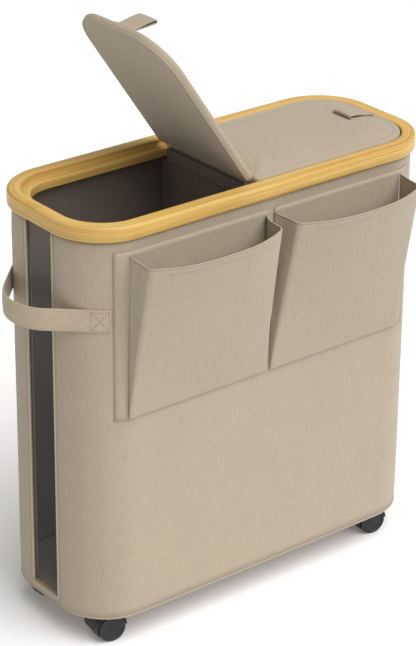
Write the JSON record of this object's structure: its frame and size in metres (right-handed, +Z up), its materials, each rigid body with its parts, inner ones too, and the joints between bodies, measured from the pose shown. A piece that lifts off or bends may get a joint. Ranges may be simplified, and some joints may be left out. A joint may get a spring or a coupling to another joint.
{
  "type": "narrow rolling storage bin",
  "caption": "Slim upright fabric storage bin on casters with a bamboo rim, folding padded lids, slanted front pockets, a clear window strip and a side strap handle.",
  "frame": {"origin": "centre of the whole object's footprint, on the floor under the wheels", "axes": "+Z up; +X along the length towards the closed lid, so the window and strap handle face -X; the pockets face -Y"},
  "size_m": [0.525, 0.2346, 0.6977],
  "materials": {
    "bamboo": "laminated bamboo, satin lacquer",
    "beige_fabric": "fine plain-weave polyester",
    "binding": "narrow woven binding",
    "grey_lining": "dark non-woven lining",
    "stiffener": "pressed board",
    "board_wood": "medium-density fibreboard",
    "clear_film": "clear soft film",
    "foam": "soft sheet padding",
    "caster_black": "moulded nylon",
    "wheel_black": "moulded nylon",
    "steel": "zinc plated"
  },
  "bodies": {
    "bin": {"bamboo_rim": "bamboo", "outer_fabric": "beige_fabric", "front_board": "stiffener", "back_board": "stiffener", "left_end_board": "stiffener", "right_end_board": "stiffener", "lining": "grey_lining", "hem_binding": "binding", "window_film": "clear_film", "window_piping": "binding", "window_sill": "beige_fabric", "base_board": "board_wood", "floor_insert": "grey_lining", "divider_cover": "grey_lining", "divider_board": "stiffener", "centre_rail": "beige_fabric", "fold_seam": "beige_fabric", "strap_handle": "beige_fabric", "caster_screws": "steel", "left_pocket_front": "beige_fabric", "left_pocket_outer_gusset": "beige_fabric", "left_pocket_inner_gusset": "beige_fabric", "left_pocket_back": "beige_fabric", "left_pocket_binding": "binding", "right_pocket_front": "beige_fabric", "right_pocket_outer_gusset": "beige_fabric", "right_pocket_inner_gusset": "beige_fabric", "right_pocket_back": "beige_fabric", "right_pocket_binding": "binding", "front_left_caster_plate": "steel", "back_left_caster_plate": "steel", "front_right_caster_plate": "steel", "back_right_caster_plate": "steel"},
    "left_lid": {"left_lid_cover": "beige_fabric", "left_lid_foam": "foam", "left_lid_board": "board_wood", "left_pull_tab": "beige_fabric"},
    "right_lid": {"right_lid_cover": "beige_fabric", "right_lid_foam": "foam", "right_lid_board": "board_wood", "right_pull_tab": "beige_fabric"},
    "front_left_swivel": {"front_left_caster_hood": "caster_black", "front_left_caster_axle": "steel"},
    "front_left_wheel_a": {"front_left_caster_wheel_a": "wheel_black"},
    "front_left_wheel_b": {"front_left_caster_wheel_b": "wheel_black"},
    "back_left_swivel": {"back_left_caster_hood": "caster_black", "back_left_caster_axle": "steel"},
    "back_left_wheel_a": {"back_left_caster_wheel_a": "wheel_black"},
    "back_left_wheel_b": {"back_left_caster_wheel_b": "wheel_black"},
    "front_right_swivel": {"front_right_caster_hood": "caster_black", "front_right_caster_axle": "steel"},
    "front_right_wheel_a": {"front_right_caster_wheel_a": "wheel_black"},
    "front_right_wheel_b": {"front_right_caster_wheel_b": "wheel_black"},
    "back_right_swivel": {"back_right_caster_hood": "caster_black", "back_right_caster_axle": "steel"},
    "back_right_wheel_a": {"back_right_caster_wheel_a": "wheel_black"},
    "back_right_wheel_b": {"back_right_caster_wheel_b": "wheel_black"}
  },
  "joints": [
    {"name": "left_lid_hinge", "type": "hinge", "parent": "bin", "child": "left_lid", "pos_m": [0.0065, 0.01925, 0.5182], "axis": [0, 1, 0], "range_deg": [-55.5, 26.5]},
    {"name": "right_lid_hinge", "type": "hinge", "parent": "bin", "child": "right_lid", "pos_m": [0.0065, 0.01925, 0.5182], "axis": [0, -1, 0], "range_deg": [0, 82]},
    {"name": "front_left_swivel", "type": "hinge", "parent": "bin", "child": "front_left_swivel", "pos_m": [-0.1815, -0.04175, 0.017], "axis": [0, 0, 1], "continuous": true},
    {"name": "front_left_wheel_a_spin", "type": "hinge", "parent": "front_left_swivel", "child": "front_left_wheel_a", "pos_m": [-0.18741, -0.04071, 0.017], "axis": [0.1736, 0.9848, 0], "continuous": true},
    {"name": "front_left_wheel_b_spin", "type": "hinge", "parent": "front_left_swivel", "child": "front_left_wheel_b", "pos_m": [-0.18741, -0.04071, 0.017], "axis": [0.1736, 0.9848, 0], "continuous": true},
    {"name": "back_left_swivel", "type": "hinge", "parent": "bin", "child": "back_left_swivel", "pos_m": [-0.1815, 0.08025, 0.017], "axis": [0, 0, 1], "continuous": true},
    {"name": "back_left_wheel_a_spin", "type": "hinge", "parent": "back_left_swivel", "child": "back_left_wheel_a", "pos_m": [-0.18741, 0.08129, 0.017], "axis": [0.1736, 0.9848, 0], "continuous": true},
    {"name": "back_left_wheel_b_spin", "type": "hinge", "parent": "back_left_swivel", "child": "back_left_wheel_b", "pos_m": [-0.18741, 0.08129, 0.017], "axis": [0.1736, 0.9848, 0], "continuous": true},
    {"name": "front_right_swivel", "type": "hinge", "parent": "bin", "child": "front_right_swivel", "pos_m": [0.2125, -0.04175, 0.017], "axis": [0, 0, 1], "continuous": true},
    {"name": "front_right_wheel_a_spin", "type": "hinge", "parent": "front_right_swivel", "child": "front_right_wheel_a", "pos_m": [0.20659, -0.04071, 0.017], "axis": [0.1736, 0.9848, 0], "continuous": true},
    {"name": "front_right_wheel_b_spin", "type": "hinge", "parent": "front_right_swivel", "child": "front_right_wheel_b", "pos_m": [0.20659, -0.04071, 0.017], "axis": [0.1736, 0.9848, 0], "continuous": true},
    {"name": "back_right_swivel", "type": "hinge", "parent": "bin", "child": "back_right_swivel", "pos_m": [0.2125, 0.08025, 0.017], "axis": [0, 0, 1], "continuous": true},
    {"name": "back_right_wheel_a_spin", "type": "hinge", "parent": "back_right_swivel", "child": "back_right_wheel_a", "pos_m": [0.20659, 0.08129, 0.017], "axis": [0.1736, 0.9848, 0], "continuous": true},
    {"name": "back_right_wheel_b_spin", "type": "hinge", "parent": "back_right_swivel", "child": "back_right_wheel_b", "pos_m": [0.20659, 0.08129, 0.017], "axis": [0.1736, 0.9848, 0], "continuous": true}
  ]
}
